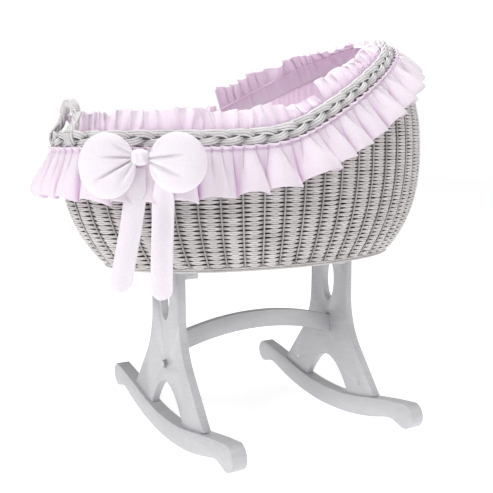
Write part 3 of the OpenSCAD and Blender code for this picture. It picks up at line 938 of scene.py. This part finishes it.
def lining_piece():
    """The fixed lining, eased into small tucks towards its top seam."""
    n, rows = 900, 34
    s = RIM_LENGTH * np.arange(n) / n
    a = rim_angle(s)
    v = np.linspace(0, 1, rows)[:, None]
    top = rim_level(a) - 24
    z = WALL_BOTTOM + 1.5 + (top - WALL_BOTTOM - 1.5) * v
    around = np.broadcast_to(a, z.shape)
    tucks = 1.3 * v**3 * np.sin(TAU * (s / 17 + 0.8 * value_noise(s / 70, 2)))
    sag = 1.0 * np.sin(math.pi * v) * value_noise(s / 130, 4)
    turned = smooth_step(0.90, 0.99, v)
    off = -(WALL_T + 3.8) + tucks * (1 - 0.7 * turned) + sag + 1.8 * turned + leaning(around, z)
    points = wall_point(around, z, off)
    obj = make_piece("lining_cloth", points.reshape(-1, 3), grid_faces(rows, n, True), LINING)
    solidify(obj, 1.0)
    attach(obj, "basket")
    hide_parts("lining")
    return obj


FRILL_SEAM = 16.0
FRILL_FOOT = -30.0
FRILL_LEAN = 12.0
PLEAT = 27.0


def frill_seat(a):
    """Offsets of a frill from the rim at its sewn foot and at its gathered seam."""
    foot = -np.maximum(BRAID_W, WALL_T + rim_out(a) - wall_lean(a)) - 2.5
    return foot, foot - HANDLE_CLEAR * np.maximum(0, -np.cos(a)) ** 8


def frill_piece(name, node, start, end, height, lean, seed):
    """A gathered upstanding frill between two angles in degrees."""
    first, last = rim_distance(math.radians(start)), rim_distance(math.radians(end))
    step = 2.4
    n = int((last - first) / step)
    s = np.linspace(first, last, n)[None]
    v = np.concatenate([np.linspace(-0.5, 0, 4)[:-1], np.linspace(0, 1, 13)])[:, None]
    a = rim_angle(s)
    foot, seat = frill_seat(a)
    tall = height(np.degrees(a), s - first, last - s)
    t = np.clip(v, 0, 1)
    below = np.clip(-v / 0.5, 0, 1)
    phase = TAU * (s / PLEAT + 0.75 * value_noise(s / 75, seed))
    sway = 1.5 * value_noise(s / 41 + 0.6 * t, seed + 5) * t
    box = np.sin(phase + sway) + 0.4 * np.sin(1.7 * phase + 1 + 2 * sway)
    crumple = value_noise(s / 13 + 1.7 * t, seed + 6) * value_noise(3.1 * t + s / 29, seed + 7)
    ripple = 0.7 * np.sin(TAU * s / 8.0 + 2 * value_noise(s / 25, seed + 1)) + 1.6 * crumple
    swing = (1.2 + 7.0 * t**0.9) * (1 + 0.45 * value_noise(s / 37, seed + 8))
    out = seat * (1 - below) + foot * below - lean(np.degrees(a)) * t**1.4
    out = out + (swing * box + ripple * (1 - 0.6 * t)) * (1 - 0.8 * below)
    out = np.minimum(out, np.where(v < 0.12, seat + 1.0, 1e3))
    up = FRILL_SEAM + (tall - FRILL_SEAM) * t + (FRILL_FOOT - FRILL_SEAM) * below
    up = up + t * (2.2 * np.cos(phase) + 6.5 * value_noise(s / 33, seed + 2))
    curl = 6.5 * t**0.8 * np.sin(phase + 1.3 + sway)
    slide = (curl + 2.5 * t * value_noise(s / 21, seed + 9)) * (1 - below)
    flopped = smooth_step(0, -40, lean(np.degrees(a)))
    edge = np.minimum(1, np.minimum(s - first, last - s) / 20) * (1 - 0.5 * flopped)
    # The cloth is darkened at and below its gathered seam, fading up the frill, as painted shade.
    valley_shade = 0.7 * (1 - t) ** 2 * (1 - 0.5 * below)
    obj = strip(name, out, up, s + slide * edge, COTTON, False, 1.1, 1, valley_shade)
    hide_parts(node)
    seam_a = rim_angle(s[0])
    seam = beside_rim(seam_a, frill_seat(seam_a)[1] - 2.6, np.full(seam_a.shape, FRILL_SEAM + 0.5))
    points, faces, _ = tubes(seam[None], 1.6, 6, False)
    cord = make_piece(name + "_seam", points, faces, COTTON)
    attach(cord, "basket")
    return obj


def body_height(degrees, from_start, to_end):
    """Height of the body's frill, which runs down to its ends."""
    ends = smooth_step(0, 130, np.minimum(from_start, to_end))
    return 36 + 20 * ends


def hood_height(degrees, from_start, to_end):
    """Height of the hood's frill, tallest at its corners and lower on the near side."""
    turn = np.abs((degrees + 180) % 360 - 180)
    near = smooth_step(180, 190, degrees % 360)
    return (45 + 13 * smooth_step(40, 56, turn) + 12 * smooth_step(56, 84, turn)) * (1 - 0.22 * near)


def body_lean(degrees):
    """Lean of the body's frill inwards; it flops out beside the handle's far leg."""
    flop = 50 * np.exp(-(((degrees - 156) / 20) ** 2))
    return FRILL_LEAN - 9 * np.exp(-(((degrees - 205) / 14) ** 2)) - flop


def hood_lean(degrees):
    """Lean of the hood's frill inwards, most over the top."""
    turn = np.abs((degrees + 180) % 360 - 180)
    return FRILL_LEAN + 8 * (1 - smooth_step(35, 60, turn))


lining = lining_piece()
body_frill = frill_piece("body_frill", "inner_frill", 86, 274, body_height, body_lean, 21)
hood_frill = frill_piece(
    "hood_top_frill", "hood_frill", -FRILL_CORNER, FRILL_CORNER, hood_height, hood_lean, 37
)


# ---- Skirt ----

SKIRT_TOP = -14.5
HEADING = 9.0
HEADING_LEAN = 4.5
HEADING_TUCK = 9.0
HEADING_WAVE = 1.8
FOLD = 56.0
FOLD_DEPTH = 14.0
FOLD_SLIDE = 10.5
GATHER = 21.0
GATHER_DEPTH = 4.2
GATHER_SLIDE = 4.6
CRINKLE = 10
HEM_WAVE = 5.5


def skirt_piece():
    """The gathered skirt: a ruffled heading, a stitched line, and folds that widen down to the hem."""
    n, rows = 1280, 30
    s = (RIM_LENGTH * np.arange(n) / n)[None]
    a = rim_angle(s)
    v = np.linspace(0, 1, rows)[:, None] ** 1.15
    head = np.maximum(5, 3 - rim_out(a))
    flare = SKIRT_FLARE - 11 - 7 * np.maximum(0, np.cos(a))
    pull = BOW_PULL * np.exp(-(((np.degrees(a) - BOW_ANGLE) / 20) ** 2))
    hem = SKIRT_TOP - SKIRT_DROP + HEM_DIP * np.minimum(0, np.cos(a)) - pull
    folds = round(RIM_LENGTH / FOLD)
    gathers = round(RIM_LENGTH / GATHER)
    crinkles = round(RIM_LENGTH / CRINKLE)
    around = s / RIM_LENGTH
    # The drift closes on itself round the rim.
    drift = 0.9 * np.sin(TAU * 5 * around + 0.7) + 0.5 * np.sin(TAU * 11 * around + 2.1)
    drift = drift + 0.35 * np.sin(TAU * 17 * around)
    fold = TAU * folds * around + drift
    gather = TAU * gathers * around + 1.6 * np.sin(TAU * 9 * around + 1)
    crinkle = TAU * crinkles * around + 2 * np.sin(TAU * 13 * around)
    size = 1 + 0.35 * np.sin(TAU * 7 * around + 0.4) + 0.15 * np.sin(TAU * 19 * around)
    depth = SKIRT_DROP * v
    seam = np.exp(-(((depth - HEADING) / 3.5) ** 2))
    fall = smooth_step(HEADING, SKIRT_DROP, depth)
    out = head + (flare - head) * (0.15 * v + 0.85 * fall**0.75)
    ruffle = 1 - smooth_step(0, HEADING, depth)
    tuck = HEADING_TUCK * smooth_step(0.3, 0.9, np.cos(a)) * ruffle
    out = out + HEADING_LEAN * ruffle - tuck
    ease = fall**0.7
    out = out + FOLD_DEPTH * size * ease * np.sin(fold)
    out = out + (GATHER_DEPTH * (1 - seam) * (1 - 0.7 * fall)) * np.sin(gather)
    out = out + 0.8 * (1 - fall) * np.sin(crinkle)
    out = out + 1.2 * fall * np.sin(2 * fold + 1.3)
    slide = -FOLD_SLIDE * size * ease * np.cos(fold + 0.35)
    slide = slide - GATHER_SLIDE * (1 - seam) * (1 - fall) * np.cos(gather + 0.5)
    up = SKIRT_TOP + (hem - SKIRT_TOP) * v + HEM_WAVE * size * fall * np.sin(fold + 0.9)
    up = up - HEADING_WAVE * ruffle * (1 + np.sin(gather))
    out = np.maximum(out, head - 1.5 - tuck)
    points = beside_rim(rim_angle(s + slide), out, up)
    # The hollows of the folds and gathers and the stitched line are darkened through the valley colour,
    # as painted shade.
    hollow = smooth_step(0.1, -0.9, np.sin(fold)) * (0.35 + 0.65 * ease)
    hollow = hollow + 0.6 * smooth_step(0, -1, np.sin(gather)) * (1 - ease)
    obj = make_piece("gathered_skirt", points.reshape(-1, 3), grid_faces(rows, n, True), COTTON)
    add_values(obj, "valley_shade", np.clip(hollow + 0.5 * seam, 0, 1).reshape(-1))
    solidify(obj, 1.1)
    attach(obj, "basket")
    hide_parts("outer_skirt")
    return obj


skirt = skirt_piece()


# ---- Stuffed bow ----

def copied(name, node):
    obj = bpy.data.objects.new(name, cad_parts[node].data.copy())
    bpy.context.scene.collection.objects.link(obj)
    return obj


PRESSURE = 4
CLOTH_FRAMES = 20


def puffed(obj, node, material, voxel_mm, cap_mm, shrink_mm, after=None):
    """A stuffed solid remeshed and inflated as cloth, no point moving further than the cap."""
    m = obj.modifiers.new("remesh", "REMESH")
    m.mode = "VOXEL"
    m.voxel_size = voxel_mm * MM
    apply_modifiers(obj)
    count = len(obj.data.vertices)
    start = np.empty(count * 3)
    obj.data.vertices.foreach_get("co", start)
    normal = np.empty(count * 3)
    obj.data.vertices.foreach_get("normal", normal)
    start = start - normal * shrink_mm * MM
    obj.data.vertices.foreach_set("co", start)
    cloth = obj.modifiers.new("cloth", "CLOTH")
    cloth.settings.use_pressure = True
    cloth.settings.uniform_pressure_force = PRESSURE
    cloth.settings.effector_weights.gravity = 0
    cloth.point_cache.frame_start = 1
    cloth.point_cache.frame_end = CLOTH_FRAMES
    for step in range(1, CLOTH_FRAMES + 1):
        bpy.context.scene.frame_set(step)
    apply_modifiers(obj)
    bpy.context.scene.frame_set(1)
    end = np.empty(count * 3)
    obj.data.vertices.foreach_get("co", end)
    move = (end - start).reshape(-1, 3)
    far = np.linalg.norm(move, axis=1, keepdims=True)
    move *= np.minimum(1, cap_mm * MM / np.maximum(far, 1e-9))
    obj.data.vertices.foreach_set("co", (start.reshape(-1, 3) + move).ravel())
    smooth = obj.modifiers.new("smooth", "SUBSURF")
    smooth.levels = smooth.render_levels = 1
    apply_modifiers(obj)
    if after:
        points = np.empty(len(obj.data.vertices) * 3)
        obj.data.vertices.foreach_get("co", points)
        obj.data.vertices.foreach_set("co", (after(points.reshape(-1, 3) / MM) * MM).ravel())
        obj.data.update()
    obj.data.materials.clear()
    obj.data.materials.append(material)
    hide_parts(node)
    return obj


BOW_A = np.array(math.radians(BOW_ANGLE))
BOW_AT, BOW_NORMAL = beside_rim(BOW_A, 0.0, 0.0), rim_axes(BOW_A)[1]
BOW_FACE = unit(np.array([BOW_NORMAL[0], BOW_NORMAL[1], 0.0]))
BOW_RIGHT = np.array([-BOW_FACE[1], BOW_FACE[0], 0.0])
BOW_DROP = 34.0
BOW_CENTRE = BOW_AT - np.array([0, 0, BOW_DROP])
BOW_OUT = SKIRT_FLARE + 4
KNOT_OUT = BOW_OUT + 24
LOOP_OUT = BOW_OUT + 31
TAIL_W = 41.0
TAIL_LENGTH = 232.0


def at_bow(right, out, up):
    """Points to the right of the bow's middle, out from the basket and up."""
    right, out, up = np.broadcast_arrays(right, out, up)
    return (
        BOW_CENTRE
        + right[..., None] * BOW_RIGHT
        + out[..., None] * BOW_FACE
        + up[..., None] * np.array([0, 0, 1.0])
    )


def pillow(name, right, up, wide, tall, thick):
    """A round pillow facing out from the skirt, flattened a little in front and behind."""
    rings, around = 22, 48
    latitude = np.linspace(-math.pi / 2, math.pi / 2, rings)[1:-1, None]
    turn = (TAU * np.arange(around) / around)[None]
    reach = np.cos(latitude) ** 0.75
    depth = np.sign(latitude) * np.abs(np.sin(latitude)) * thick / 2
    x, z = right + reach * np.cos(turn) * wide / 2, up + reach * np.sin(turn) * tall / 2
    body = at_bow(x, LOOP_OUT + depth + 0 * turn, z).reshape(-1, 3)
    poles = at_bow(np.array([right, right]), LOOP_OUT + np.array([-thick, thick]) / 2, np.array([up, up]))
    faces = grid_faces(rings - 2, around, True)
    last = (rings - 3) * around
    for k in range(around):
        faces.append([(k + 1) % around, k, len(body)])
        faces.append([last + k, last + (k + 1) % around, len(body) + 1])
    return make_piece(name, np.concatenate([body, poles]), faces, BOW)


def groove(right, up, start, end, wide, deep):
    """Depth of a crease that runs from one point of the bow's face to another and dies away there."""
    (x0, y0), (x1, y1) = start, end
    dx, dy = x1 - x0, y1 - y0
    length = math.hypot(dx, dy)
    along = ((right - x0) * dx + (up - y0) * dy) / length**2
    aside = ((right - x0) * dy - (up - y0) * dx) / length
    fade = smooth_step(-0.15, 0.05, along) * (1 - smooth_step(0.35, 1.0, along))
    return deep * fade * np.exp(-((aside / (wide * (0.6 + 0.7 * np.clip(along, 0, 1)))) ** 2))


# Creases as start and end on the bow's face, width and depth.
CREASES = (
    ((-16, 0), (-74, 1), 3.6, 10.0),
    ((-16, -6), (-90, -50), 3.8, 12.0),
    ((-14, 6), (-60, 34), 4.5, 5.0),
    ((-12, -10), (-40, -58), 4.5, 6.0),
    ((16, -2), (98, 7), 3.6, 11.0),
    ((16, -8), (88, -36), 3.8, 11.5),
    ((14, 6), (62, 40), 4.5, 5.0),
    ((13, -10), (44, -44), 4.5, 5.5),
)


def creased(points):
    """Pinches a loop at the knot and pulls its face in along creases that fan out from there."""
    local = points - BOW_CENTRE
    right, out, up = local @ BOW_RIGHT, local @ BOW_FACE, local[:, 2]
    reach = np.hypot(right, up)
    thin = 0.30 + 0.70 * smooth_step(6, 52, reach)
    cut = sum(groove(right, up, start, end, wide, deep) for start, end, wide, deep in CREASES)
    away = out - LOOP_OUT
    front = smooth_step(-2, 8, away)
    return at_bow(right, LOOP_OUT + away * thin - cut * front, up)


def knotted(points):
    """Shallow folds across the knot."""
    local = points - BOW_CENTRE
    right, out, up = local @ BOW_RIGHT, local @ BOW_FACE, local[:, 2]
    front = smooth_step(0, 10, out - KNOT_OUT)
    fold = np.cos(TAU * right / 13 + 0.12 * up)
    flat = 0.90 + 0.12 * smooth_step(6, 17, np.abs(right))
    return at_bow(right * 1.08, out - 1.3 * front * fold, up * flat)


def tail_piece(name, node, right, lean, drop, seed):
    """A flat sewn tail hanging from the knot, round-ended, with a soft fold down it."""
    rows, columns = 56, 15
    v = np.linspace(0, 1, rows)[:, None]
    u = np.linspace(-1, 1, columns)[None]
    half = TAIL_W / 2
    along = v * TAIL_LENGTH
    end = np.clip((along - (TAIL_LENGTH - half)) / half, 0, 0.998)
    width = half * np.sqrt(1 - end**2) * (0.62 + 0.38 * smooth_step(0, 0.22, v))
    across = u * width + 3.0 * np.sin(2.6 * v + seed)
    curl = 3.4 * np.cos(TAU * (0.42 * u + 0.1 * seed)) * (1 - 0.5 * v)
    curl = curl + 2.6 * np.sin(TAU * (1.4 * v + 0.13 * seed))
    tip = math.radians(lean)
    x = right + across * math.cos(tip) - along * math.sin(tip)
    z = -20 - drop - along * math.cos(tip) - across * math.sin(tip)
    points = at_bow(x, BOW_OUT + 7 + curl * smooth_step(0, 0.15, v), z)
    obj = make_piece(name, points.reshape(-1, 3), grid_faces(rows, columns, False), BOW)
    solidify(obj, 5.0, 1)
    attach(obj, "basket")
    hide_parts(node)
    return obj


left_pillow = pillow("bow_loop_left", -58, -15, 104, 120, 44)
right_pillow = pillow("bow_loop_right", 69, -9, 106, 110, 44)
left_loop = puffed(left_pillow, "bow_left_loop", BOW, 4.0, 8, 0.0, creased)
right_loop = puffed(right_pillow, "bow_right_loop", BOW, 4.0, 8, 0.0, creased)
knot = puffed(copied("bow_middle", "bow_knot"), "bow_knot", BOW, 3.0, 4, 1.5, knotted)
for stuffed in (left_loop, right_loop, knot):
    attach(stuffed, "basket")
left_tail = tail_piece("bow_tail_left", "bow_left_tail", -8, 9, 0, 1)
right_tail = tail_piece("bow_tail_right", "bow_right_tail", 36, 0, 12, 2)


# ---- Mattress ----

MATTRESS_INSET = 18.0
PIPING_R = 2.4


def mattress_piece():
    """The mattress in its cover, with a piping cord round its upper and lower edge."""
    obj = puffed(copied("mattress_pad", "mattress"), "mattress", COVER, 6.0, 6, 4.0)
    low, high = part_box("mattress")
    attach(obj, "mattress")
    s = float(share(BASE_Z + FLOOR_T + 1))
    a = np.linspace(0, TAU, 420, endpoint=False)
    x = BASKET_X + (HALF_L * s - MATTRESS_INSET) * np.cos(a)
    y = (HALF_W * s - MATTRESS_INSET) * np.sin(a)
    parts = []
    for z in (low.z / MM + 5, high.z / MM - 5):
        path = np.stack([x, y, np.full(a.shape, z)], axis=-1)
        points, faces, _ = tubes(path[None], PIPING_R, 8, True)
        parts.append((points, faces, np.zeros(len(points))))
    points, faces, _ = joined(parts)
    piping = make_piece("mattress_piping", points, faces, COVER)
    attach(piping, "mattress")
    return obj


pad = mattress_piece()
